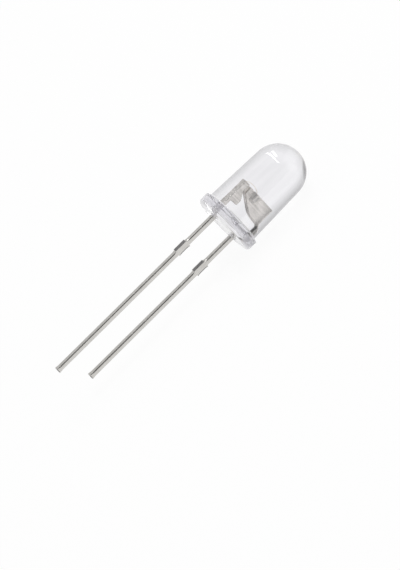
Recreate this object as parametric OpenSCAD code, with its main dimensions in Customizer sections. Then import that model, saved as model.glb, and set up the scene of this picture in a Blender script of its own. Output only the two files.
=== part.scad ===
// Water-clear 5 mm through-hole LED, lying on the flat of its flange.
// The optical axis is +X, the leads run along -X, and the flat faces -Z. The origin is the
// centre of the flange's underside, where the part seats on a board. All sizes are in mm.

/* [Lens] */
// Diameter of the lens where it leaves the flange
lens_d = 5.0; // [4.4:0.05:5.6]
// Draft of the lens wall, in degrees a side
lens_draft = 1.9; // [0.5:0.1:2.5]
// Height from the underside of the flange to the top of the dome
body_h = 8.55; // [7.5:0.05:10.0]
// Thickness of the flange
flange_h = 1.0; // [0.8:0.05:1.3]
// How far the flange stands out past the lens
flange_lip = 0.31; // [0.28:0.01:0.5]
// Ledge left between the lens wall and the flat that marks the cathode
flat_ledge = 0.05; // [0.03:0.01:0.08]
// Rounding of the flange's lower edge
rim_r = 0.3; // [0.1:0.01:0.4]
// Rounding of the flange's upper edge
rim_top_r = 0.08; // [0.04:0.01:0.12]
// Fillet between the lens wall and the flange
root_r = 0.1; // [0.09:0.01:0.14]

/* [Leads] */
// Thickness of the stamped strip
frame_t = 0.45; // [0.36:0.01:0.55]
// Width of each lead
lead_w = 0.45; // [0.4:0.01:0.55]
// Rounding of the leads' long edges
lead_edge_r = 0.1; // [0.05:0.01:0.14]
// Distance between the two leads' centre lines
lead_pitch = 2.54; // [2.2:0.02:2.8]
// Length of the anode lead below the flange
anode_len = 17.6; // [8:0.1:30]
// Length of the cathode lead below the flange
cathode_len = 16.05; // [7:0.05:28]
// Distance from the flange to the stubs of the tie bar
stub_gap = 3.05; // [2.5:0.05:4]
// Length of each stub along the lead
stub_len = 1.15; // [0.8:0.05:1.5]
// How far each stub stands out from the side of its lead
stub_proud = 0.065; // [0.03:0.005:0.15]

/* [Lead frame inside the lens] */
// Height of the top of the post above the flange's underside
frame_top = 3.75; // [3.4:0.05:4.3]
// How far the top of the anvil lies below the top of the post
anvil_drop = 0.08; // [0.02:0.01:0.15]
// How far the rounded, tinned section of each lead runs into the flange
tin_run = 0.1; // [0.05:0.01:0.15]
// Width of the neck that each lead narrows to inside the flange
neck_w = 0.26; // [0.22:0.01:0.32]
// Height at which the leads narrow to their necks
neck_start = 0.45; // [0.35:0.05:0.7]
// Height of the post that the wire is bonded to
post_h = 1.95; // [1.8:0.05:2.15]
// Width of the post at its top
post_top_w = 0.46; // [0.4:0.01:0.55]
// Width of the post at its foot
post_foot_w = 0.85; // [0.75:0.01:0.95]
// Height over which the post narrows from its foot to its top
post_slope_h = 0.75; // [0.6:0.05:0.85]
// Rounding of the post's foot and of the corner above its neck
post_r = 0.15; // [0.08:0.01:0.2]
// Gap between the post and the anvil
frame_gap = 0.18; // [0.14:0.01:0.25]
// Height of the anvil that carries the reflector cup
anvil_h = 1.8; // [1.65:0.05:2.0]
// Height of the anvil's straight side next to the post
anvil_inner_h = 0.62; // [0.5:0.02:0.7]
// Slope of the anvil's underside, in degrees
anvil_slope = 42.5; // [38:0.5:47]
// How far the anvil's outer side stands in from the side of its lead
anvil_inset = 0.24; // [0.15:0.01:0.35]
// Rounding of the corner below the anvil's straight side
anvil_knee_r = 0.25; // [0.1:0.05:0.4]
// Fillet where the anvil's underside turns into its neck
anvil_fillet = 0.18; // [0.1:0.01:0.22]
// Straight land left between that fillet and the round of the underside
anvil_land = 0.05; // [0.02:0.01:0.1]
// Height of the offset where the cathode's neck steps in to the anvil's side
offset_h = 0.5; // [0.3:0.05:0.7]
// Rounding of the bends of that offset and of the post's slope
offset_r = 0.3; // [0.1:0.05:0.5]
// Rounding of the stamped corners at the top of the frame
corner_r = 0.05; // [0.02:0.01:0.08]

/* [Reflector cup] */
// Outer diameter of the cup at its rim
cup_rim_d = 0.9; // [0.8:0.02:1.0]
// Thickness of the cup's wall at its rim
cup_wall = 0.08; // [0.05:0.01:0.12]
// Depth of the cup
cup_depth = 0.28; // [0.22:0.01:0.4]
// Outer diameter of the foot of the swelling that the cup is pressed into
swell_foot_d = 0.68; // [0.6:0.02:0.78]
// Height of that swelling
swell_h = 0.85; // [0.7:0.05:1.0]
// Rounding of the swelling's foot
swell_r = 0.22; // [0.1:0.01:0.28]

/* [Chip and wire] */
// Side of the square chip
chip_w = 0.26; // [0.2:0.01:0.32]
// Height of the chip
chip_h = 0.2; // [0.12:0.01:0.25]
// Gap between the chip's corners and the cup's wall, at the cup's floor
chip_clear = 0.04; // [0.02:0.01:0.08]
// Thickness of the conductive paste under the chip
paste_t = 0.02; // [0.01:0.005:0.04]
// Diameter of the bond wire
wire_d = 0.025; // [0.02:0.005:0.05]
// Rise of the wire's loop above its ends
wire_rise = 0.18; // [0.12:0.01:0.4]
// Diameter of the ball bond on the chip
ball_d = 0.09; // [0.06:0.01:0.14]
// Height of the ball bond
ball_h = 0.03; // [0.02:0.005:0.05]
// Diameter of the stitch bond on the post
stitch_d = 0.08; // [0.06:0.01:0.14]

/* [Hidden] */
$fn = 96;

// How far a rounding arc crosses the sides that it joins
hair = 0.00005;

lens_r = lens_d / 2;
flange_r = lens_r + flange_lip;
// The dome is the sphere that the drafted wall runs into and that tops out at the body's height
dome_r = (lens_r * cos(lens_draft) - (body_h - flange_h) * sin(lens_draft)) / (1 - sin(lens_draft));
dome_z = body_h - dome_r;
wall_top_r = dome_r * cos(lens_draft);
wall_top_z = dome_z + dome_r * sin(lens_draft);

// The anode narrows on its outer side and the cathode on its inner side
lead_in = (lead_pitch - lead_w) / 2;
lead_out = (lead_pitch + lead_w) / 2;
post_side = lead_in + neck_w;
neck_in = lead_out - neck_w;
post_foot_z = frame_top - post_h;
post_edge = post_side - post_top_w;

anvil_top = frame_top - anvil_drop;
anvil_foot_z = anvil_top - anvil_h;
anvil_side = lead_out - anvil_inset;
anvil_reach = post_edge - frame_gap;
knee_z = anvil_top - anvil_inner_h;
heel_end = neck_in - anvil_fillet - anvil_land;
heel_x = min(heel_end - 0.1, (knee_z - anvil_foot_z) / tan(anvil_slope) - anvil_reach);
anvil_sweep_r = (heel_end - heel_x)
    * tan(half_angle([-anvil_reach, knee_z], [heel_x, anvil_foot_z], [neck_in, anvil_foot_z]));
offset_z = anvil_foot_z - offset_h / 2;

cup_rim_r = cup_rim_d / 2;
cup_top_r = cup_rim_r - cup_wall;
cup_floor_r = chip_w / sqrt(2) + chip_clear;
cup_floor_z = anvil_top - cup_depth;
cup_slope = (cup_top_r - cup_floor_r) / cup_depth;
chip_z = cup_floor_z + paste_t;

wire_r = wire_d / 2;
stitch_x = -post_side + post_top_w / 2;
ball_z = chip_z + chip_h;
wire_end_z = max(frame_top, ball_z + ball_h) + wire_r;
loop_r = (pow(stitch_x / 2, 2) + pow(wire_rise, 2)) / (2 * wire_rise);
loop_angle = asin(abs(stitch_x) / 2 / loop_r);

// Lays an upright form down, its axis along +X and its cathode side below
module laid() {
    rotate([0, 90, 0]) children();
}

function unit(v) = v / norm(v);
function half_angle(a, p, c) = acos(unit(a - p) * unit(c - p)) / 2;
function run_in(a, p, c, r) = r / tan(half_angle(a, p, c));
function before(pts, i) = pts[(i + len(pts) - 1) % len(pts)];
function after(pts, i) = pts[(i + 1) % len(pts)];
function cut_corner(a, p, c, r) = r == 0 ? [p] :
    [p + unit(a - p) * run_in(a, p, c, r), p + unit(c - p) * run_in(a, p, c, r)];

// The sliver between a corner's chord and the arc of radius r that rounds the corner. The arc
// crosses each side by a hair instead of only touching it, so the outline closes cleanly.
module corner_sliver(a, p, c, r) {
    to_a = unit(a - p);
    to_c = unit(c - p);
    inward = unit(to_a + to_c);
    reach = run_in(a, p, c, r) + 2 * sqrt(2 * r * hair);
    intersection() {
        translate(p + inward * r / sin(half_angle(a, p, c))) circle(r + hair);
        polygon([p + to_a * reach, p + to_a * reach - inward * r,
                 p + to_c * reach - inward * r, p + to_c * reach]);
    }
}

// A polygon, points anticlockwise, with each corner rounded to its own radius
module rounded(pts, radii) {
    turns = [for (i = [0:len(pts) - 1]) cross(pts[i] - before(pts, i), after(pts, i) - pts[i])];
    difference() {
        union() {
            polygon([for (i = [0:len(pts) - 1])
                each cut_corner(before(pts, i), pts[i], after(pts, i), radii[i])]);
            for (i = [0:len(pts) - 1])
                if (radii[i] > 0 && turns[i] > 0)
                    corner_sliver(before(pts, i), pts[i], after(pts, i), radii[i]);
        }
        for (i = [0:len(pts) - 1])
            if (radii[i] > 0 && turns[i] < 0)
                corner_sliver(before(pts, i), pts[i], after(pts, i), radii[i]);
    }
}

// A stamping from the strip: its outline in X and Z, its thickness along Y
module stamped() {
    rotate([90, 0, 0]) linear_extrude(frame_t, center = true) children();
}

// One lead below the lens, on its own centre line, with the stubs left by the tie bar
module lead_bar(length) {
    w = lead_w / 2;
    t = frame_t / 2;
    translate([0, 0, -length])
        linear_extrude(length + 2 * tin_run)
            rounded([[-w, -t], [w, -t], [w, t], [-w, t]], [for (i = [0:3]) lead_edge_r]);
    translate([-w - stub_proud, -t, -stub_gap - stub_len])
        cube([lead_w + 2 * stub_proud, frame_t, stub_len]);
}

module lens_body() {
    difference() {
        rotate_extrude() {
            rounded([[0, 0], [flange_r, 0], [flange_r, flange_h], [lens_r, flange_h],
                     [wall_top_r, wall_top_z], [0, wall_top_z]],
                    [0, rim_r, rim_top_r, root_r, 0, 0]);
            translate([0, dome_z])
                intersection() {
                    circle(dome_r + hair);
                    square(2 * dome_r);
                }
        }
        flat_cut();
    }
}

// What the mould's flat leaves off the flange. The rounding of the lower edge follows it.
module flat_cut() {
    flat_x = lens_r + flat_ledge;
    rotate([90, 0, 0])
        linear_extrude(2 * flange_r, center = true)
            difference() {
                translate([flat_x - rim_r, -flange_h])
                    square([2 * rim_r + flange_lip, 2 * flange_h + root_r]);
                rounded([[0, 0], [flat_x, 0], [flat_x, 3 * flange_h], [0, 3 * flange_h]],
                        [0, rim_r, 0, 0]);
            }
}

module post_frame() {
    translate([-lead_pitch / 2, 0, 0]) lead_bar(anode_len);
    stamped()
        rounded([[-lead_out, tin_run], [-lead_in, tin_run], [-lead_in, post_foot_z],
                 [-post_side + post_foot_w, post_foot_z],
                 [-post_side + post_foot_w, knee_z - post_slope_h], [-post_edge, knee_z],
                 [-post_edge, frame_top], [-post_side, frame_top], [-post_side, neck_start],
                 [-lead_out, neck_start]],
                [0, 0, post_r, post_r, offset_r, offset_r, corner_r, corner_r, corner_r, corner_r]);
}

module anvil_frame() {
    translate([lead_pitch / 2, 0, 0]) lead_bar(cathode_len);
    difference() {
        union() {
            stamped()
                rounded([[lead_in, tin_run], [lead_out, tin_run], [lead_out, offset_z],
                         [anvil_side, offset_z + offset_h], [anvil_side, anvil_top],
                         [-anvil_reach, anvil_top], [-anvil_reach, knee_z],
                         [heel_x, anvil_foot_z], [neck_in, anvil_foot_z], [neck_in, neck_start],
                         [lead_in, neck_start]],
                        [0, 0, offset_r, offset_r, corner_r, corner_r, anvil_knee_r,
                         anvil_sweep_r, anvil_fillet, corner_r, corner_r]);
            cup_swelling();
        }
        cup_hollow();
    }
}

module cup_swelling() {
    rotate_extrude()
        rounded([[0, anvil_top - swell_h], [swell_foot_d / 2, anvil_top - swell_h],
                 [cup_rim_r, anvil_top], [0, anvil_top]], [0, swell_r, 0, 0]);
}

module cup_hollow() {
    rotate_extrude()
        polygon([[0, cup_floor_z], [cup_floor_r, cup_floor_z], [cup_top_r, anvil_top],
                 [cup_top_r, anvil_top + cup_depth], [0, anvil_top + cup_depth]]);
}

module paste_pool() {
    translate([0, 0, cup_floor_z])
        cylinder(h = paste_t, r1 = cup_floor_r, r2 = cup_floor_r + cup_slope * paste_t);
}

module chip_block() {
    translate([-chip_w / 2, -chip_w / 2, chip_z]) cube([chip_w, chip_w, chip_h]);
}

// Ball bond, neck, round loop and stitch bond
module wire_loop() {
    translate([0, 0, ball_z]) cylinder(h = ball_h, d = ball_d);
    translate([0, 0, ball_z]) cylinder(h = wire_end_z - ball_z, d = wire_d);
    translate([stitch_x / 2, 0, wire_end_z + wire_rise - loop_r])
        rotate([90, 0, 0])
            rotate([0, 0, 90 - loop_angle])
                rotate_extrude(angle = 2 * loop_angle)
                    translate([loop_r, 0]) circle(d = wire_d);
    translate([stitch_x, 0, frame_top])
        cylinder(h = wire_end_z + wire_r - frame_top, d = stitch_d);
}

module lens() {
    color([0.88, 0.89, 0.92, 0.35])
        laid()
            difference() {
                lens_body();
                post_frame();
                anvil_frame();
                paste_pool();
                chip_block();
                wire_loop();
            }
}

module anode_lead() {
    color([0.76, 0.76, 0.75]) laid() post_frame();
}

module cathode_lead() {
    color([0.76, 0.76, 0.75]) laid() anvil_frame();
}

module chip() {
    color([0.55, 0.16, 0.12]) laid() chip_block();
}

module die_paste() {
    color([0.82, 0.82, 0.84]) laid() paste_pool();
}

module bond_wire() {
    color([0.85, 0.66, 0.25]) laid() wire_loop();
}

lens();
anode_lead();
cathode_lead();
chip();
die_paste();
bond_wire();
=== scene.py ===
import math
import bpy
import numpy as np
from mathutils import Matrix, Vector


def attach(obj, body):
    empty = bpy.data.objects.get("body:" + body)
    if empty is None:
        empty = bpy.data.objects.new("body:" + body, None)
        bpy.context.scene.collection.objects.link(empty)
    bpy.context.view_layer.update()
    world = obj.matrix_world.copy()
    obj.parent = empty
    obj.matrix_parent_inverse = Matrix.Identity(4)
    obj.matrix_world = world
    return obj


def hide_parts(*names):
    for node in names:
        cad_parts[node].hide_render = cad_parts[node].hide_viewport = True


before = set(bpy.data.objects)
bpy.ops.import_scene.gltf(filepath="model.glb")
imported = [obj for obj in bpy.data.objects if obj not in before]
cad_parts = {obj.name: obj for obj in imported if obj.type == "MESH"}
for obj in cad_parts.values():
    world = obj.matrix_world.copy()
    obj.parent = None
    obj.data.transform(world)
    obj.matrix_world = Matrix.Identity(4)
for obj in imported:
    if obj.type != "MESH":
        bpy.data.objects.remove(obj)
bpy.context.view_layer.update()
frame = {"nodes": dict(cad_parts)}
scene = bpy.context.scene
scene.view_settings.view_transform = "Standard"
mm = 0.001
print("frame loaded:", ", ".join(frame["nodes"]))


# mesh helpers, all sizes in mm

def gridQuads(rows, columns, first=0):
    # quads between neighbouring rows of a grid whose columns run round and close
    i = np.arange(rows - 1)[:, None] * columns
    j = np.arange(columns)[None, :]
    k = (j + 1) % columns
    return first + np.stack([i + j, i + k, i + columns + k, i + columns + j], -1).reshape(-1, 4)


def poleFan(pole, ring, columns):
    # triangles from one pole point to the ring that starts at index ring
    j = np.arange(columns)
    return np.stack([np.full(columns, pole), ring + j, ring + (j + 1) % columns], -1)


def arcRun(centreX, centreR, radius, start, end, steps):
    # x = centreX + radius cos(a), r = centreR + radius sin(a), a from start to end in degrees
    a = np.radians(np.linspace(start, end, steps))
    return np.stack([centreX + radius * np.cos(a), centreR + radius * np.sin(a)], -1)


def lineRun(a, b, steps):
    # a (1 - t) + b t, t from 0 to 1
    t = np.linspace(0, 1, steps)[:, None]
    return np.array(a, float) * (1 - t) + np.array(b, float) * t


def joinRuns(runs, nearest=1e-5):
    # one profile from several runs, without the points that repeat
    p = np.concatenate(runs)
    keep = np.append(True, np.linalg.norm(np.diff(p, axis=0), axis=1) > nearest)
    return p[keep]


def turnedSurface(x, r, angle):
    # rows of (x, r) turned about the X axis: (x, r sin a, -r cos a), with a pole at each end of the profile
    columns = len(angle)
    body = np.stack([x, r * np.sin(angle), -r * np.cos(angle)], -1)
    rows = len(body) - 2
    points = np.concatenate([body[0, :1], body[1:-1].reshape(-1, 3), body[-1, :1]])
    last = len(points) - 1
    faces = gridQuads(rows, columns, 1).tolist()
    faces += poleFan(0, 1, columns)[:, ::-1].tolist()
    faces += poleFan(last, last - columns, columns).tolist()
    return points, faces


def turnedProfile(profile, columns):
    # one (x, r) profile turned all the way round
    angle = np.linspace(0, 2 * np.pi, columns, endpoint=False)
    x = np.repeat(profile[:, :1], columns, 1)
    r = np.repeat(profile[:, 1:], columns, 1)
    return turnedSurface(x, r, angle)


def roundedOutline(corners, radii, steps=5, spare=0.012, longest=0.25, spareShare=0.3, freeRoom=9.0):
    # each corner p becomes an arc round c = p + b r / sin(h), b the bisector and h half the corner's angle;
    # the arc's points are c + (sin((1 - t) w) start + sin(t w) end) / sin(w), w = pi - 2 h;
    # each point's room is the radius of the convex corner that it lies on, and elsewhere freeRoom
    p, r = np.array(corners, float), np.array(radii, float)[:, None]
    back, ahead = np.roll(p, 1, 0) - p, np.roll(p, -1, 0) - p
    lenBack, lenAhead = (np.linalg.norm(v, axis=1, keepdims=True) for v in (back, ahead))
    back, ahead = back / lenBack, ahead / lenAhead
    h = np.arccos(np.clip((back * ahead).sum(1, keepdims=True), -1, 1)) / 2
    run = r / np.tan(h)
    mid = back + ahead
    c = p + mid / np.linalg.norm(mid, axis=1, keepdims=True) * r / np.sin(h)
    start, end = p + back * run - c, p + ahead * run - c
    w = (np.pi - 2 * h)[:, :, None]
    t = np.linspace(0, 1, steps)[None, :, None]
    arc = c[:, None] + (np.sin((1 - t) * w) * start[:, None] + np.sin(t * w) * end[:, None]) / np.sin(w)
    leftBack = lenBack - run - np.roll(run, 1, 0)  # straight length left on each side of the corner
    leftAhead = lenAhead - run - np.roll(run, -1, 0)
    before = p + back * (run + np.minimum(spare, spareShare * leftBack))
    after = p + ahead * (run + np.minimum(spare, spareShare * leftAhead))
    line = np.concatenate([before[:, None], arc, after[:, None]], 1).reshape(-1, 2)
    step = np.roll(line, -1, 0) - line
    count = np.maximum(1, np.ceil(np.linalg.norm(step, axis=1) / longest)).astype(int)
    at = np.repeat(np.arange(len(line)), count)
    share = (np.arange(count.sum()) - np.repeat(np.cumsum(count) - count, count)) / count[at]
    convex = (back[:, 0] * ahead[:, 1] - back[:, 1] * ahead[:, 0]) < 0
    room = np.repeat(np.where(convex, r[:, 0], freeRoom), steps + 2)[at]
    return line[at] + step[at] * share[:, None], np.where(share > 0, freeRoom, room)


def outlineNormals(line):
    # mitred outward normal of a closed anticlockwise outline: (n0 + n1) / (1 + n0.n1)
    step = np.roll(line, -1, 0) - line
    n = np.stack([step[:, 1], -step[:, 0]], -1) / np.linalg.norm(step, axis=1, keepdims=True)
    n0 = np.roll(n, 1, 0)
    return (n + n0) / (1 + (n * n0).sum(1, keepdims=True))


def splitLoop(line, partings):
    # the outline's points in one loop, or in several where it is parted, from left to right
    loops = [np.arange(len(line))]
    for parting in partings:
        loop = loops.pop()
        right = line[loop, 0] > parting
        first = np.flatnonzero(right & ~np.roll(right, 1))[0]
        last = np.flatnonzero(right & ~np.roll(right, -1))[0]
        turned = np.roll(loop, -first)
        count = (last - first) % len(loop) + 1
        loops += [np.append(turned[count - 1:], turned[0]), turned[:count]]
    return loops


def stampedSheet(line, bevel, half, spare=0.008, arcSteps=4, partings=()):
    # a rounded edge profile carried round the outline: inset d = b (1 - sin a) at height half - b (1 - cos a)
    a = np.radians(np.linspace(0, 90, arcSteps + 1))
    b = bevel[None, :]
    one = np.ones_like(b)
    inset = np.concatenate([b + spare, b * (1 - np.sin(a))[:, None], 0 * one])
    depth = np.concatenate([half * one, half - b * (1 - np.cos(a))[:, None], half - b - spare])
    inset, depth = np.concatenate([inset, inset[::-1]]), np.concatenate([-depth, depth[::-1]])
    n = outlineNormals(line)
    flat = line[None] - inset[:, :, None] * n[None]
    points = np.stack([flat[..., 0], depth, flat[..., 1]], -1).reshape(-1, 3)
    rows, columns = inset.shape
    loops = splitLoop(line, partings)
    faces = gridQuads(rows, columns).tolist() + [loop[::-1].tolist() for loop in loops]
    faces += [(loop + (rows - 1) * columns).tolist() for loop in loops]
    return points, faces, rows - 1


def outward(points, faces):
    # turns the faces round where the signed volume, the sum of a.(b x c) / 6 over fans, is negative
    size = np.array([len(f) for f in faces])
    volume = 0.0
    for n in np.unique(size):
        f = np.array([f for f in faces if len(f) == n])
        a, b, c = points[f[:, :1]], points[f[:, 1:-1]], points[f[:, 2:]]
        volume += (a * np.cross(b, c)).sum() / 6
    return (points, faces) if volume > 0 else (points, [f[::-1] for f in faces])


def finishNumbers(finishes):
    # the material index of each named finish
    return {name: i for i, name in enumerate(finishes)}


def putPiece(name, parts, materials, node):
    # parts holds (points in mm, faces, material index of each face or one for all)
    first, points, faces, index = 0, [], [], []
    for p, f, m in parts:
        points.append(p)
        faces += [[v + first for v in face] for face in f]
        index.append(np.broadcast_to(m, len(f)))
        first += len(p)
    mesh = bpy.data.meshes.new(name)
    mesh.from_pydata((np.concatenate(points) * mm).tolist(), [], faces)
    mesh.polygons.foreach_set("use_smooth", np.ones(len(faces), bool))
    for m in materials:
        mesh.materials.append(m)
    mesh.polygons.foreach_set("material_index", np.concatenate(index).astype(np.int32))
    mesh.update()
    piece = bpy.data.objects.new(name, mesh)
    scene.collection.objects.link(piece)
    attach(piece, "root")
    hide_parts(node)


# shader helpers

def newMaterial(name):
    m = bpy.data.materials.new(name)
    m.use_nodes = True
    tree = m.node_tree
    return m, tree.nodes, tree.links, tree.nodes["Principled BSDF"]


def newGroup(name, values, stretches, results):
    # a shader group with number and vector inputs at their first values, and number outputs
    g = bpy.data.node_groups.new(name, "ShaderNodeTree")
    for key, value in {**values, **stretches}.items():
        kind = "NodeSocketVector" if key in stretches else "NodeSocketFloat"
        g.interface.new_socket(name=key, in_out="INPUT", socket_type=kind).default_value = value
    for key in results:
        g.interface.new_socket(name=key, in_out="OUTPUT", socket_type="NodeSocketFloat")
    return g, g.nodes, g.links, g.nodes.new("NodeGroupInput"), g.nodes.new("NodeGroupOutput")


def markNoise(nodes, links, inside, scale, detail, stretch=None):
    # noise at the scale of one group input, drawn out by another where it is named
    where = nodes.new("ShaderNodeTexCoord").outputs["Object"]
    if stretch:
        drawn = nodes.new("ShaderNodeMapping")
        links.new(inside.outputs[stretch], drawn.inputs["Scale"])
        links.new(where, drawn.inputs["Vector"])
        where = drawn.outputs["Vector"]
    n = nodes.new("ShaderNodeTexNoise")
    n.inputs["Detail"].default_value = detail
    links.new(where, n.inputs["Vector"])
    links.new(inside.outputs[scale], n.inputs["Scale"])
    return n.outputs["Fac"]


def mapRange(nodes, links, value, start=(0.0, 1.0), end=(0.0, 1.0)):
    # carries a value from one span to another
    n = nodes.new("ShaderNodeMapRange")
    n.inputs["From Min"].default_value, n.inputs["From Max"].default_value = start
    n.inputs["To Min"].default_value, n.inputs["To Max"].default_value = end
    links.new(value, n.inputs["Value"])
    return n.outputs["Result"]


def colourMix(nodes, links, share, first, second):
    # a colour between two, by a value from 0 to 1
    n = nodes.new("ShaderNodeMix")
    n.data_type = "RGBA"
    n.inputs["A"].default_value, n.inputs["B"].default_value = (*first, 1), (*second, 1)
    links.new(share, n.inputs["Factor"])
    return n.outputs["Result"]


def addRelief(nodes, links, body, height, strength, deep):
    # bump from a height that varies over the surface
    n = nodes.new("ShaderNodeBump")
    n.inputs["Strength"].default_value, n.inputs["Distance"].default_value = strength, deep
    links.new(height, n.inputs["Height"])
    links.new(n.outputs["Normal"], body.inputs["Normal"])


# the metals

strip = dict(markSpan=(0.3, 0.7), gritDeep=0.00001, toneShare=0.55, roughShare=0.35, heightShare=0.4)


def makeStripMarks():
    # rolled and tinned strip: long fine lines, soft blotches and a fine grain
    s = strip
    g, nodes, links, inside, outside = newGroup(
        "stripMarks", {"Line Scale": 9000.0, "Blotch Scale": 1400.0, "Grain Scale": 30000.0},
        {"Line Stretch": (0.06, 1.0, 1.0)}, ("Tone", "Rough", "Height"))
    line = markNoise(nodes, links, inside, "Line Scale", 4.0, "Line Stretch")
    blotch = markNoise(nodes, links, inside, "Blotch Scale", 3.0)
    grain = markNoise(nodes, links, inside, "Grain Scale", 2.0)
    blends = {"Tone": (line, blotch, s["toneShare"]), "Rough": (blotch, grain, s["roughShare"]),
              "Height": (line, grain, s["heightShare"])}
    for result, (a, b, share) in blends.items():
        blend = nodes.new("ShaderNodeMix")
        blend.inputs["Factor"].default_value = share
        links.new(a, blend.inputs["A"])
        links.new(b, blend.inputs["B"])
        links.new(blend.outputs["Result"], outside.inputs[result])
    return g


stripMarks = makeStripMarks()


def metalFinish(name, dark, light, rough, bump, scales=None, metal=1.0):
    # metal whose colour runs from dark to light with the strip's marks, roughness between the two values
    m, nodes, links, body = newMaterial(name)
    body.inputs["Metallic"].default_value = metal
    marks = nodes.new("ShaderNodeGroup")
    marks.node_tree = stripMarks
    for key, value in (scales or {}).items():
        marks.inputs[key].default_value = value
    tone = mapRange(nodes, links, marks.outputs["Tone"], strip["markSpan"])
    grip = mapRange(nodes, links, marks.outputs["Rough"], strip["markSpan"], rough)
    links.new(colourMix(nodes, links, tone, dark, light), body.inputs["Base Color"])
    links.new(grip, body.inputs["Roughness"])
    addRelief(nodes, links, body, marks.outputs["Height"], bump, strip["gritDeep"])
    return m


tinnedSteel = metalFinish("tinned steel", (0.57, 0.556, 0.53), (0.69, 0.676, 0.65), (0.2, 0.34), 0.25)
frameSteel = metalFinish("frame steel", (0.5, 0.482, 0.455), (0.93, 0.9, 0.862), (0.16, 0.3), 0.6,
                         {"Line Scale": 7000.0, "Line Stretch": (1.0, 1.0, 0.07)})  # pressed across the strip
# pale and matte where the flange grips it: painted light that lifts the lead out of the shade it shows
# through the flange
steelPaintedLight = metalFinish("steel painted light", (0.9, 0.89, 0.9), (1.0, 0.99, 1.0), (0.4, 0.55), 0.4, metal=0.1)
cutSteel = metalFinish("cut steel", (0.14, 0.14, 0.15), (0.3, 0.29, 0.28), (0.45, 0.65), 0.8,
                       {"Line Scale": 26000.0, "Blotch Scale": 5000.0})
cupSilver = metalFinish("cup silver", (0.88, 0.86, 0.82), (0.98, 0.96, 0.92), (0.45, 0.58), 0.4)
# the cup's dark marks: painted reflection and painted shade
pressedSilver = metalFinish("pressed silver", (0.58, 0.57, 0.55), (0.8, 0.78, 0.75), (0.45, 0.58), 0.6)
# near black on the cathode neck's inner faces, between the two leads: painted shade
neckShadeSteel = metalFinish("neck painted shade", (0.03, 0.03, 0.03), (0.08, 0.078, 0.075), (0.5, 0.7), 0.8)
pasteSilver = metalFinish("paste silver", (0.5, 0.5, 0.5), (0.75, 0.75, 0.74), (0.4, 0.6), 0.8)
wireGold = metalFinish("wire gold", (0.76, 0.64, 0.4), (0.86, 0.75, 0.52), (0.15, 0.25), 0.1)


# the epoxy, with a look of its own for the wall, the flange, its lower rim and the root of the wall; the
# rim's paler tint is painted light and the root's pale band a painted highlight

# edge is how far the tint darkens at the outline for the camera, a painted shade
epoxyLook = dict(
    dim=(0.86, 0.855, 0.88), clear=(0.975, 0.97, 0.99), clarity=1.0, ior=1.53, rough=(0.0, 0.02),
    wave=0.06, waveDeep=0.0003, glow=0.7, lateBounce=3.5, edge=0.58, outlineShadeSpan=(0.25, 0.75),
    bandSpan=(0.35, 0.65),
    marks={"Band Scale": 900.0, "Band Stretch": (0.12, 1.0, 1.0),
           "Wave Scale": 420.0, "Wave Stretch": (1.0, 1.0, 1.0)})
flangeLook = dict(
    epoxyLook, dim=(0.62, 0.61, 0.67), clear=(0.98, 0.97, 1.0), clarity=0.82, rough=(0.05, 0.14),
    wave=0.25, glow=0.76, edge=0.95,
    marks={"Band Scale": 700.0, "Band Stretch": (8.0, 0.5, 0.5),
           "Wave Scale": 500.0, "Wave Stretch": (3.5, 1.0, 1.0)})
# the lower rim: a paler tint, painted light on the underside that faces the floor's shade
rimLitLook = dict(flangeLook, dim=(0.88, 0.87, 0.92), clear=(1.0, 0.995, 1.0), clarity=0.8,
               rough=(0.03, 0.12), wave=0.15)
# the root of the wall: pale and half opaque, a painted highlight for the glint at the joint
rootGlintLook = dict(flangeLook, dim=(0.96, 0.955, 0.97), clear=(1.0, 1.0, 1.0), clarity=0.35,
                rough=(0.03, 0.08), wave=0.05)


def makeCastMarks():
    # a cast surface: pale and dim bands and a slow wave, each drawn out as the material asks
    g, nodes, links, inside, outside = newGroup(
        "castMarks", {"Band Scale": 900.0, "Wave Scale": 420.0},
        {"Band Stretch": (0.12, 1.0, 1.0), "Wave Stretch": (1.0, 1.0, 1.0)}, ("Band", "Height"))
    links.new(markNoise(nodes, links, inside, "Band Scale", 2.0, "Band Stretch"), outside.inputs["Band"])
    links.new(markNoise(nodes, links, inside, "Wave Scale", 1.5, "Wave Stretch"), outside.inputs["Height"])
    return g


castMarks = makeCastMarks()


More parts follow.
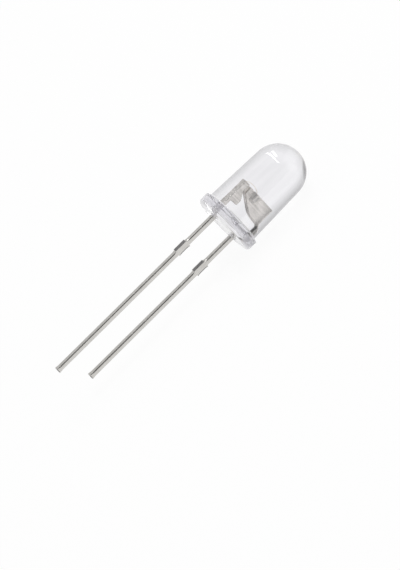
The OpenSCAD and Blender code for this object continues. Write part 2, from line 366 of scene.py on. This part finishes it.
def makeEpoxy(name, look):
    # clear cast resin: the tint runs from dim to clear with the bands, and for the camera it darkens towards
    # the outline, a painted shade; roughness follows the bands too, and the relief is the slow wave
    m, nodes, links, body = newMaterial(name)
    body.inputs["Transmission Weight"].default_value = look["clarity"]
    body.inputs["IOR"].default_value = look["ior"]
    marks = nodes.new("ShaderNodeGroup")
    marks.node_tree = castMarks
    for key, value in look["marks"].items():
        marks.inputs[key].default_value = value
    tone = mapRange(nodes, links, marks.outputs["Band"], look["bandSpan"])
    facing = nodes.new("ShaderNodeLayerWeight").outputs["Facing"]
    path, outlineShaded = nodes.new("ShaderNodeLightPath"), nodes.new("ShaderNodeMix")
    outlineShaded.data_type, outlineShaded.blend_type = "RGBA", "MULTIPLY"
    # painted shade: for camera rays the tint darkens towards the outline
    links.new(path.outputs["Is Camera Ray"], outlineShaded.inputs["Factor"])
    links.new(colourMix(nodes, links, tone, look["dim"], look["clear"]), outlineShaded.inputs["A"])
    links.new(mapRange(nodes, links, facing, look["outlineShadeSpan"], (1.0, look["edge"])), outlineShaded.inputs["B"])
    links.new(outlineShaded.outputs["Result"], body.inputs["Base Color"])
    links.new(mapRange(nodes, links, marks.outputs["Band"], end=look["rough"]), body.inputs["Roughness"])
    addRelief(nodes, links, body, marks.outputs["Height"], look["wave"], look["waveDeep"])
    # painted light: where light has been thrown back inside the cast more than lateBounce times, the surface
    # glows evenly in its clear tint
    late, glow, pick = (nodes.new("ShaderNode" + kind) for kind in ("Math", "Emission", "MixShader"))
    late.operation = "GREATER_THAN"
    late.inputs[1].default_value = look["lateBounce"]
    glow.inputs["Color"].default_value = (*look["clear"], 1)
    glow.inputs["Strength"].default_value = look["glow"]
    links.new(path.outputs["Glossy Depth"], late.inputs[0])
    for i, source in enumerate((late, body, glow)):
        links.new(source.outputs[0], pick.inputs[i])
    links.new(pick.outputs[0], nodes["Material Output"].inputs["Surface"])
    return m


clearEpoxy, flangeEpoxy = makeEpoxy("clear epoxy", epoxyLook), makeEpoxy("flange epoxy", flangeLook)
rimLitEpoxy, rootGlintEpoxy = makeEpoxy("rim epoxy painted light", rimLitLook), makeEpoxy("root epoxy painted highlight", rootGlintLook)

crystal = dict(dark=(0.2, 0.05, 0.04), light=(0.42, 0.13, 0.09), rough=(0.15, 0.35), grain=24000.0)


def makeChipCrystal():
    # dull red, with a fine grain in colour and roughness
    m, nodes, links, body = newMaterial("chip crystal")
    n = nodes.new("ShaderNodeTexNoise")
    n.inputs["Scale"].default_value = crystal["grain"]
    links.new(nodes.new("ShaderNodeTexCoord").outputs["Object"], n.inputs["Vector"])
    grain = n.outputs["Fac"]
    links.new(colourMix(nodes, links, grain, crystal["dark"], crystal["light"]), body.inputs["Base Color"])
    links.new(mapRange(nodes, links, grain, end=crystal["rough"]), body.inputs["Roughness"])
    return m


chipCrystal = makeChipCrystal()
print("materials made")


# the lens: one cast of epoxy, its free surface at the back drawn up a little round the leads

leadBar = dict(half=0.225, at=1.27)  # half the bar's thickness, and its distance from the axis
lens = dict(flangeR=2.81, flangeH=1.0, flat=2.55, rim=0.3, rimTop=0.08, root=0.1, wallR=2.5, draft=1.9,
            top=8.55, leadRing=(0.75, 1.8), underR=2.3, dish=0.03, dishR=2.2, creep=0.09, creepReach=0.1,
            flatFrom=1.6, flatBlend=0.03, leastCos=0.3, wallStart=(0.02, 0.003),
            flangeSpare=0.005, rootSpare=0.05, near=1e-6, columns=512)


def makeLens():
    # a profile of (x, r) turned about the X axis, its flange cut off along the flat
    s = lens
    tilt = math.radians(s["draft"])
    domeR = (s["wallR"] * math.cos(tilt) - (s["top"] - s["flangeH"]) * math.sin(tilt)) / (1 - math.sin(tilt))
    domeX = s["top"] - domeR
    wallTop = (domeX + domeR * math.sin(tilt), domeR * math.cos(tilt))
    rootX, rootR = s["flangeH"] + s["root"], s["wallR"] + s["root"]
    rimR, rimX, ledgeR = s["flangeR"] - s["rim"], s["flangeH"] - s["rimTop"], s["flangeR"] - s["rimTop"]
    ringIn, ringOut = s["leadRing"]  # more rows where the leads come out
    wallX, wallR = rootX + s["wallStart"][0], s["wallR"] - s["wallStart"][1]
    profile = joinRuns([
        lineRun((0, 0), (0, ringIn), 8), lineRun((0, ringIn), (0, ringOut), 26),
        lineRun((0, ringOut), (0, rimR), 10),
        arcRun(s["rim"], rimR, s["rim"], 180, 90, 12),
        lineRun((s["rim"], s["flangeR"]), (rimX, s["flangeR"]), 7),
        arcRun(rimX, ledgeR, s["rimTop"], 90, 0, 7),
        lineRun((s["flangeH"], ledgeR), (s["flangeH"], rootR), 4),
        arcRun(rootX, rootR, s["root"], 180, 270 - s["draft"], 8),
        lineRun((wallX, wallR), wallTop, 24),
        arcRun(domeX, 0, domeR, 90 - s["draft"], 0, 52)])
    angle = np.linspace(0, 2 * np.pi, s["columns"], endpoint=False)
    x, r = (np.repeat(profile[:, k:k + 1], len(angle), 1) for k in (0, 1))
    # the rim stands at the smooth lesser of the round flange and the flat's chord: flat / cos(a)
    chord = s["flat"] / np.maximum(np.cos(angle), s["leastCos"])
    k = s["flatBlend"]
    h = np.clip(0.5 + 0.5 * (chord - s["flangeR"]) / k, 0, 1)
    rim = chord * (1 - h) + s["flangeR"] * h - k * h * (1 - h)
    inner = np.clip((r - s["flatFrom"]) / (rimR - s["flatFrom"]), 0, 1)
    inner = inner * inner * (3 - 2 * inner)
    low = r - (s["flangeR"] - rim) * inner  # the underside and lower rim keep their rounding along the flat
    ledge = (rim - s["wallR"]) / (s["flangeR"] - s["wallR"])  # the ledge narrows
    high = s["wallR"] + (r - s["wallR"]) * ledge
    above = x > rimX + s["near"]
    r = np.where(above & (r > s["wallR"]), high, np.where(above, r, low))
    # the underside is dished and climbs each lead: x = dish (1 - (r/R)^2) - creep exp(-gap / reach)
    y, z = r * np.sin(angle), -r * np.cos(angle)
    gapY = np.maximum(np.abs(y) - leadBar["half"], 0)
    gapZ = np.maximum(np.abs(np.abs(z) - leadBar["at"]) - leadBar["half"], 0)
    gap = np.sqrt(gapY ** 2 + gapZ ** 2)
    under = (x < s["near"]) & (r < s["underR"])
    bow = s["dish"] * np.maximum(1 - (r / s["dishR"]) ** 2, 0) - s["creep"] * np.exp(-gap / s["creepReach"])
    x = np.where(under, bow, x)
    x[0], x[-1] = x[0].mean(), s["top"]
    r[0], r[-1] = 0, 0
    return outward(*turnedSurface(x, r, angle))


lensFinishes = dict(wall=clearEpoxy, flange=flangeEpoxy, rim=rimLitEpoxy, root=rootGlintEpoxy)
lensNumber = finishNumbers(lensFinishes)
lensPoints, lensFaces = makeLens()
lensMiddle = np.array([lensPoints[f, 0].mean() for f in lensFaces])
flangeEnd = lens["flangeH"] + lens["flangeSpare"]
rootEnd = lens["flangeH"] + lens["root"] + lens["rootSpare"]
zone = np.select([lensMiddle < lens["rim"], lensMiddle < flangeEnd, lensMiddle < rootEnd],
                 [lensNumber[k] for k in ("rim", "flange", "root")], lensNumber["wall"])
putPiece("lens_cast", [(lensPoints, lensFaces, zone)], lensFinishes.values(), "lens")
print("lens:", len(lensFaces), "faces")


# the two leads: stamped outlines in X and Z, 0.45 mm thick along Y

leadStrip = dict(leadBar, stub=(-4.2, -3.05), stubHalf=0.29, neckStart=0.45, neckShade=(1.34, 0.46),
                 partings=(0.0, 0.95), tipCorner=0.07, stubCorner=0.022, near=0.004)
# roundings of the edges; each fade gives where it starts and how long it runs
leadEdge = dict(bar=0.13, stub=0.012, roll=0.1, head=0.075, neck=0.035, cup=0.012, tip=0.05, least=0.004,
                stubFade=(0.06, 0.04), tipFade=(0.3, 0.25), headFade=(0.02, 0.12), neckFade=(1.75, 0.15),
                slot=(3.2, 0.43), roomShare=0.85, roomSpare=0.008)
leadOut, leadIn = leadBar["at"] + leadBar["half"], leadBar["at"] - leadBar["half"]
leadFinishes = dict(tinned=tinnedSteel, cut=cutSteel, frame=frameSteel, cup=cupSilver, shadedNeck=neckShadeSteel,
                    litInFlange=steelPaintedLight, pressed=pressedSilver)
leadNumber = finishNumbers(leadFinishes)


def edgeRounding(line, tip, centre):
    # the bar's rounding, running over to that of the tip, the stubs, the neck and the head;
    # the stubs were sheared from above, which rolled their lower edge over
    s, x, z = leadEdge, line[:, 0], line[:, 1]
    stubLow, stubHigh = leadStrip["stub"]
    offStub = np.maximum(stubLow - x, x - stubHigh)
    nearStub = np.clip((s["stubFade"][0] - offStub) / s["stubFade"][1], 0, 1)
    nearTip = np.clip((tip + s["tipFade"][0] - x) / s["tipFade"][1], 0, 1)
    inHead = np.clip((x - s["headFade"][0]) / s["headFade"][1], 0, 1)
    inNeck = np.clip((s["neckFade"][0] - x) / s["neckFade"][1], 0, 1)
    b = s["bar"] + (s["tip"] - s["bar"]) * nearTip
    b = b + (np.where(z < centre, s["roll"], s["stub"]) - b) * nearStub
    b = b + (s["head"] + (s["neck"] - s["head"]) * inNeck - b) * inHead
    bySlot = (x > s["slot"][0]) & (np.abs(z) < s["slot"][1])  # the slot that the cup stands in
    return np.where(bySlot, s["cup"], b)


def makeLead(name, node, tip, head, extra):
    # side is +1 for the anode above the axis and -1 for the cathode below;
    # head lists the (x, z, radius) corners of the part inside the lens
    s, e = leadStrip, leadEdge
    side = 1 if node == "anode_lead" else -1
    stubOut, stubIn = s["at"] + s["stubHalf"], s["at"] - s["stubHalf"]
    a, b = s["stub"]
    c, t = s["stubCorner"], s["tipCorner"]
    rows = [(tip, leadOut, t), (a, leadOut, c), (a, stubOut, c), (b, stubOut, c), (b, leadOut, c)]
    rows += head
    rows += [(b, leadIn, c), (b, stubIn, c), (a, stubIn, c), (a, leadIn, c), (tip, leadIn, t)]
    rows = np.array(rows) * (1, side, 1)
    if side > 0:
        rows = rows[::-1]  # anticlockwise seen with X to the right and Z up
    line, room = roundedOutline(rows[:, :2], rows[:, 2])
    widest = np.maximum(e["roomShare"] * room - e["roomSpare"], e["least"])
    bevel = np.minimum(edgeRounding(line, tip, side * s["at"]), widest)
    points, faces, bands = stampedSheet(line, bevel, s["half"], partings=s["partings"])
    x, z = ((line + np.roll(line, -1, 0)) / 2).T
    sheared = (np.abs(np.abs(z) - s["at"]) > s["stubHalf"] - s["near"]) & (x < 0)
    cropped = x < tip + s["near"]
    # the cathode neck's inner faces, between the two leads, take painted shade
    neckShade = (side < 0) & (np.abs(x - s["neckShade"][0]) < s["neckShade"][1]) & (np.abs(z) < s["at"])
    # between the partings the lead is painted light, pale where the flange grips it
    gripped, freed = s["partings"]
    band = np.select([sheared | cropped, neckShade, x > freed, x > gripped],
                     [leadNumber[k] for k in ("cut", "shadedNeck", "frame", "litInFlange")], leadNumber["tinned"])
    flats = [leadNumber[k] for k in ("tinned", "litInFlange", "frame")] * 2  # the flat faces, front and back
    index = np.append(np.tile(band, bands), flats)
    points, faces = outward(points, faces)
    putPiece(name, [(points, faces, index)] + extra, leadFinishes.values(), node)


post = dict(tip=-17.6, top=3.75, out=1.305, edge=0.845, kneeX=3.05, bendX=2.3, footX=1.8, footIn=0.455,
            bend=0.3, round=0.15, corner=0.05)
p, neckX = post, leadStrip["neckStart"]
postHead = [(neckX, leadOut, p["corner"]), (neckX, p["out"], p["corner"]), (p["top"], p["out"], p["corner"]),
            (p["top"], p["edge"], p["corner"]), (p["kneeX"], p["edge"], p["bend"]),
            (p["bendX"], p["footIn"], p["bend"]), (p["footX"], p["footIn"], p["round"]),
            (p["footX"], leadIn, p["round"])]
makeLead("anode_strip", "anode_lead", p["tip"], postHead, [])

anvil = dict(tip=-16.05, top=3.67, neckIn=1.235, side=1.255, offsetX=1.62, offsetH=0.5, offsetRound=0.3,
             reach=0.665, kneeX=3.05, kneeRound=0.25, footX=1.87, heel=0.6227, sweep=0.98, fillet=0.18,
             corner=0.05, notchX=3.3, notchTop=0.385, notchFoot=0.29, notchRound=0.03)
# each of the cup's dark marks, painted reflection and painted shade, runs between two angles in degrees and
# two heights along X
cup = dict(rim=0.45, wall=0.08, depth=0.28, height=0.85, footR=0.34, footRound=0.22, footSpare=0.012,
           footEnd=97, lip=0.018, lipEnd=-62, lipRun=1.9, floorR=0.224,
           lineAt=0.12, lineWide=0.07, lineDeep=0.02,
           marks=((-26, -7, 3.05, 3.6), (5, 28, 3.1, 3.53), (-12, 20, 2.93, 3.06)), shadeOuterR=0.31, columns=96)


def makeCup():
    # the pressed cup as one turned profile: foot, swelling, lip, cone and floor
    s, top = cup, anvil["top"]
    foot, floor, lipX = top - s["height"], top - s["depth"], top - s["lip"]
    inner, footR = s["rim"] - s["wall"], s["footR"] - s["footRound"]
    swell = arcRun(foot + s["footRound"], footR + s["footSpare"], s["footRound"], 180, s["footEnd"], 10)
    # a press line runs round the swelling: a shallow groove across its slope
    low = swell[-1]
    slope = (s["rim"] - low[1]) / (lipX - low[0])
    across = np.linspace(0, 1, 9)
    grooveX = low[0] + s["lineAt"] + s["lineWide"] * across
    grooveR = low[1] + slope * (grooveX - low[0]) - s["lineDeep"] * np.sin(np.pi * across) ** 2
    groove = np.stack([grooveX, grooveR], -1)
    profile = joinRuns([
        lineRun((foot, 0), (foot, footR), 4), swell,
        lineRun(low, groove[0], 4), groove, lineRun(groove[-1], (lipX, s["rim"]), 10),
        arcRun(lipX, s["rim"] - s["lip"], s["lip"], 90, 0, 5),
        lineRun((top, s["rim"] - s["lip"]), (top, inner + s["lip"]), 3),
        arcRun(lipX, inner + s["lip"], s["lip"], 0, s["lipEnd"], 4),
        lineRun((top - s["lip"] * s["lipRun"], inner), (floor, s["floorR"]), 8),
        lineRun((floor, s["floorR"]), (floor, 0), 5)])
    return outward(*turnedProfile(profile, s["columns"]))


def pressedFaces(points, faces):
    # the cup's outer faces under its dark marks of painted reflection and shade, by their angle from the
    # front round to the lower side
    x, y, z = np.array([points[f].mean(0) for f in faces]).T
    turn = np.degrees(np.arctan2(-z, -y))
    inMarks = [(turn > first) & (turn < last) & (x > low) & (x < high)
               for first, last, low, high in cup["marks"]]
    return np.any(inMarks, 0) & (np.hypot(y, z) > cup["shadeOuterR"])


p, top, notch = anvil, anvil["top"], anvil["notchRound"]
anvilHead = [(p["offsetX"], leadOut, p["offsetRound"]),
             (p["offsetX"] + p["offsetH"], p["side"], p["offsetRound"]), (top, p["side"], p["corner"]),
             (top, p["notchTop"], notch), (p["notchX"], p["notchFoot"], notch),
             (p["notchX"], -p["notchFoot"], notch), (top, -p["notchTop"], notch),
             (top, -p["reach"], p["corner"]), (p["kneeX"], -p["reach"], p["kneeRound"]),
             (p["footX"], p["heel"], p["sweep"]), (p["footX"], p["neckIn"], p["fillet"]),
             (neckX, p["neckIn"], p["corner"]), (neckX, leadIn, p["corner"])]
cupPoints, cupFaces = makeCup()
# the marked faces take the darker silver, a painted reflection and shade
cupFinish = np.where(pressedFaces(cupPoints, cupFaces), leadNumber["pressed"], leadNumber["cup"])
makeLead("cathode_strip", "cathode_lead", p["tip"], anvilHead, [(cupPoints, cupFaces, cupFinish)])
print("leads stamped")


# the chip, the paste under it and the wire from the chip to the post

chip = dict(half=0.13, foot=3.41, height=0.2, edge=0.012, corner=0.02, pad=0.07, padH=0.004, padColumns=40)


def makeChip():
    # a square block with rounded edges, and a round pad on it as a turned profile
    s = chip
    h, top, thin = s["half"], s["foot"] + s["height"], s["padH"]
    corners = [(-h, -h), (h, -h), (h, h), (-h, h)]
    line, _ = roundedOutline(corners, [s["corner"]] * 4, longest=0.1, spare=0.006)
    points, faces, _ = stampedSheet(line, np.full(len(line), s["edge"]), s["height"] / 2, spare=0.004)
    block = np.stack([points[:, 1] + s["foot"] + s["height"] / 2, points[:, 0], points[:, 2]], -1)
    profile = joinRuns([
        lineRun((top - thin, 0), (top - thin, s["pad"]), 3), arcRun(top, s["pad"] - thin, thin, 90, 0, 4),
        lineRun((top + thin, s["pad"] - thin), (top + thin, 0), 3)])
    return [(*outward(block, faces), 0), (*outward(*turnedProfile(profile, s["padColumns"])), 1)]


putPiece("chip_block", makeChip(), [chipCrystal, wireGold], "chip")

paste = dict(floor=3.39, floorR=0.222, climb=0.03, climbOut=0.014, climbIn=0.012, thick=0.02,
             sag=0.8, sagIn=0.02, flatR=0.12, columns=72)


def makePaste():
    # a pool that climbs the cup's wall and the chip's foot: turned profile with a raised edge
    s = paste
    f, edge, top = s["floor"], s["floor"] + s["climb"], s["floor"] + s["thick"]
    hollow = (f + s["thick"] * s["sag"], s["floorR"] - s["sagIn"])
    profile = joinRuns([
        lineRun((f, 0), (f, s["floorR"]), 5),
        lineRun((f, s["floorR"]), (edge, s["floorR"] + s["climbOut"]), 4),
        lineRun((edge, s["floorR"] + s["climbIn"]), hollow, 5), lineRun(hollow, (top, s["flatR"]), 4),
        lineRun((top, s["flatR"]), (top, 0), 3)])
    return outward(*turnedProfile(profile, s["columns"]))


putPiece("paste_pool", [(*makePaste(), 0)], [pasteSilver], "die_paste")

wire = dict(radius=0.0125, ballR=0.045, ballFoot=3.61, ballH=0.03, bulge=(0.12, 0.8, 0.45),
            neckGap=(0.012, 0.008), end=3.7625, rise=0.18, reach=1.075, stitchRows=9, stitchFlat=0.45,
            stitchWide=1.2, stitchEnd=(-0.004, 0.01), columns=20)


def makeWire():
    # a round section carried along ball, neck, loop and stitch; the loop is the arc through both ends and its
    # rise, and the ball's radius is ballR sin(pi (from + span t)) ^ power
    s = wire
    loopR = ((s["reach"] / 2) ** 2 + s["rise"] ** 2) / (2 * s["rise"])
    half = math.asin(s["reach"] / 2 / loopR)
    a = np.linspace(-half, half, 64)
    loopX = s["end"] + s["rise"] - loopR + loopR * np.cos(a)
    loop = np.stack([loopX, s["reach"] / 2 + loopR * np.sin(a)], -1)
    t = np.linspace(0, 1, 9)
    ball = np.stack([s["ballFoot"] + s["ballH"] * t, 0 * t], -1)
    neckFoot = s["ballFoot"] + s["ballH"] + s["neckGap"][0]
    neck = lineRun((neckFoot, 0), (s["end"] - s["neckGap"][1], 0), 4)
    path = np.concatenate([ball, neck, loop[2:]])
    start, span, power = s["bulge"]
    bulge = s["ballR"] * np.maximum(np.sin(np.pi * (start + span * t)), 0) ** power
    size = np.append(bulge, np.full(len(path) - len(ball), s["radius"]))[:, None]
    # the stitch is pressed flat at the far end
    press = np.arange(len(path)) - len(path) + s["stitchRows"]
    press = np.clip(press / (s["stitchRows"] - 1), 0, 1)[:, None]
    tangent = np.gradient(path, axis=0)
    tangent /= np.linalg.norm(tangent, axis=1, keepdims=True)
    normal = np.stack([tangent[:, 1], -tangent[:, 0]], -1)
    turn = np.linspace(0, 2 * np.pi, s["columns"], endpoint=False)
    high = size * (1 - s["stitchFlat"] * press) * np.cos(turn)
    wide = size * (1 + s["stitchWide"] * press) * np.sin(turn)
    ring = np.stack([path[:, :1] + normal[:, :1] * high, wide, path[:, 1:] + normal[:, 1:] * high], -1)
    (footX, footZ), (endX, endZ) = path[0], path[-1] + s["stitchEnd"]
    points = np.concatenate([[[footX, 0, footZ]], ring.reshape(-1, 3), [[endX, 0, endZ]]])
    n, last = s["columns"], len(points) - 1
    faces = gridQuads(len(path), n, 1).tolist() + poleFan(0, 1, n)[:, ::-1].tolist()
    faces += poleFan(last, last - n, n).tolist()
    return outward(points, faces)


putPiece("bond_loop", [(*makeWire(), 0)], [wireGold], "bond_wire")
print("chip, paste and wire set")


# camera, floor and light

view = dict(azimuth=-4.7, elevation=31.0, axisAngle=44.7, pxPerMm=12.44, width=400, middle=(-1.847, -4.726),
            distance=240.0, sensor=36.0, clip=(0.005, 5.0))


def placeCamera():
    # a long lens, turned so that the part's axis lies at axisAngle in the picture
    s = view
    az, el, turn = (math.radians(s[k]) for k in ("azimuth", "elevation", "axisAngle"))
    back = Vector((math.sin(az) * math.cos(el), -math.cos(az) * math.cos(el), math.sin(el)))
    along = Vector((1, 0, 0))
    along = (along - back * along.dot(back)).normalized()
    side = back.cross(along)
    right = along * math.cos(turn) - side * math.sin(turn)
    up = along * math.sin(turn) + side * math.cos(turn)
    middle = right * s["middle"][0] + up * s["middle"][1]
    data = bpy.data.cameras.new("camera")
    data.sensor_fit, data.sensor_width = "HORIZONTAL", s["sensor"]
    data.lens = s["sensor"] * s["distance"] / (s["width"] / s["pxPerMm"])
    data.clip_start, data.clip_end = s["clip"]
    cam = bpy.data.objects.new("camera", data)
    place = Matrix((right, up, back)).transposed().to_4x4()
    place.translation = (middle + back * s["distance"]) * mm
    cam.matrix_world = place
    scene.collection.objects.link(cam)
    scene.camera = cam
    return back, along, side


toCamera, alongAxis, acrossAxis = placeCamera()

floor = dict(z=-2.55, size=0.9, rows=9, grey=0.8, throughShare=0.3, mirrorShare=0.14, shadowShare=0.07)


def makeFloor():
    # a flat grid: (u, v) times the size, at the height z
    s, n = floor, floor["rows"]
    u, v = np.meshgrid(np.linspace(-0.5, 0.5, n), np.linspace(-0.5, 0.5, n), indexing="ij")
    points = np.stack([u * s["size"], v * s["size"], np.full_like(u, s["z"] * mm)], -1).reshape(-1, 3)
    i, j = np.meshgrid(np.arange(n - 1), np.arange(n - 1), indexing="ij")
    a = i * n + j
    mesh = bpy.data.meshes.new("floor")
    mesh.from_pydata(points.tolist(), [], np.stack([a, a + n, a + n + 1, a + 1], -1).reshape(-1, 4).tolist())
    m, nodes, links, body = newMaterial("floor paper")
    nodes.remove(body)
    matte = nodes.new("ShaderNodeBsdfDiffuse")
    matte.inputs["Color"].default_value = (*[s["grey"]] * 3, 1)
    shown = matte.outputs[0]
    # what is seen straight or in the metal keeps a faint shadow, what is seen through the lens a fuller one
    for key, kind in (("throughShare", "Transmission"), ("mirrorShare", "Glossy"), ("shadowShare", "Camera")):
        faint, glow = nodes.new("ShaderNodeBsdfDiffuse"), nodes.new("ShaderNodeEmission")
        faint.inputs["Color"].default_value = (*[s[key]] * 3, 1)
        glow.inputs["Strength"].default_value = 1 - s[key]
        both, pick = nodes.new("ShaderNodeAddShader"), nodes.new("ShaderNodeMixShader")
        links.new(faint.outputs[0], both.inputs[0])
        links.new(glow.outputs[0], both.inputs[1])
        links.new(nodes.new("ShaderNodeLightPath").outputs["Is " + kind + " Ray"], pick.inputs[0])
        links.new(shown, pick.inputs[1])
        links.new(both.outputs[0], pick.inputs[2])
        shown = pick.outputs[0]
    links.new(shown, nodes["Material Output"].inputs["Surface"])
    mesh.materials.append(m)
    paper = bpy.data.objects.new("floor", mesh)
    scene.collection.objects.link(paper)


sky = dict(horizon=0.97, high=0.68, highAt=0.55, darkest=0.14, darkThrough=0.42, darkReach=(0.56, 0.9),
           cardToward=(-0.72, 0.6, 0.34), cardReach=(0.88, 0.98), cardLevel=0.4)


def makeSky():
    # white to the camera; for the rest a backdrop that dims upwards from the horizon, a dim patch on the
    # camera's side, and a dark card at the back that the dome's shoulder shows
    s = sky
    world = bpy.data.worlds.new("studio")
    scene.world = world
    world.use_nodes = True
    nodes, links = world.node_tree.nodes, world.node_tree.links
    back = nodes["Background"]
    place, axes = nodes.new("ShaderNodeTexCoord"), nodes.new("ShaderNodeSeparateXYZ")
    links.new(place.outputs["Generated"], axes.inputs[0])
    shown = mapRange(nodes, links, axes.outputs["Z"], (0.0, s["highAt"]), (s["horizon"], s["high"]))
    for way, reach in ((toCamera, s["darkReach"]), (Vector(s["cardToward"]).normalized(), s["cardReach"])):
        dot, dim, both = (nodes.new("ShaderNode" + kind) for kind in ("VectorMath", "MapRange", "Math"))
        dot.operation, both.operation = "DOT_PRODUCT", "MULTIPLY"
        dot.inputs[1].default_value = way
        links.new(place.outputs["Generated"], dot.inputs[0])
        dim.interpolation_type = "SMOOTHSTEP"
        dim.inputs["From Min"].default_value, dim.inputs["From Max"].default_value = reach
        dim.inputs["To Min"].default_value, dim.inputs["To Max"].default_value = 1.0, s["cardLevel"]
        if way is toCamera:
            # the camera's patch is less dim for what comes through the lens
            least = nodes.new("ShaderNodeMix")
            least.inputs["A"].default_value, least.inputs["B"].default_value = s["darkest"], s["darkThrough"]
            through = nodes.new("ShaderNodeLightPath").outputs["Is Transmission Ray"]
            links.new(through, least.inputs["Factor"])
            links.new(least.outputs["Result"], dim.inputs["To Max"])
        links.new(dot.outputs["Value"], dim.inputs["Value"])
        links.new(shown, both.inputs[0])
        links.new(dim.outputs["Result"], both.inputs[1])
        shown = both.outputs[0]
    level = nodes.new("ShaderNodeMix")
    links.new(nodes.new("ShaderNodeLightPath").outputs["Is Camera Ray"], level.inputs["Factor"])
    links.new(shown, level.inputs["A"])
    level.inputs["B"].default_value = 1.0
    links.new(level.outputs["Result"], back.inputs["Strength"])
    back.inputs["Color"].default_value = (1, 1, 1, 1)


# directions are along the axis, across it and to the camera; places and sizes in metres
panels = dict(lower=dict(toward=(0.405, 0.814, 0.415), size=(0.026, 0.43), lean=-8.6, power=0.28),
              upper=dict(toward=(0.558, 0.807, 0.192), size=(0.044, 0.19), lean=-10.0, power=0.15))
panelStand = dict(away=0.3, aim=(0.004, 0, 0))


def makePanels():
    # two bright strips for the dome to mirror
    for name, s in panels.items():
        toward = s["toward"]
        way = (alongAxis * toward[0] + acrossAxis * toward[1] + toCamera * toward[2]).normalized()
        data = bpy.data.lights.new(name + " panel", "AREA")
        data.shape, data.energy = "RECTANGLE", s["power"]
        data.size, data.size_y = s["size"]
        lamp = bpy.data.objects.new(name + " panel", data)
        x = (alongAxis - way * alongAxis.dot(way)).normalized()
        y, lean = way.cross(x), math.radians(s["lean"])
        x, y = x * math.cos(lean) - y * math.sin(lean), y * math.cos(lean) + x * math.sin(lean)
        turn = Matrix((x, y, way)).transposed().to_4x4()
        turn.translation = way * panelStand["away"] + Vector(panelStand["aim"])
        lamp.matrix_world = turn
        scene.collection.objects.link(lamp)


makeFloor()
makeSky()
makePanels()
print("camera, floor and light placed")
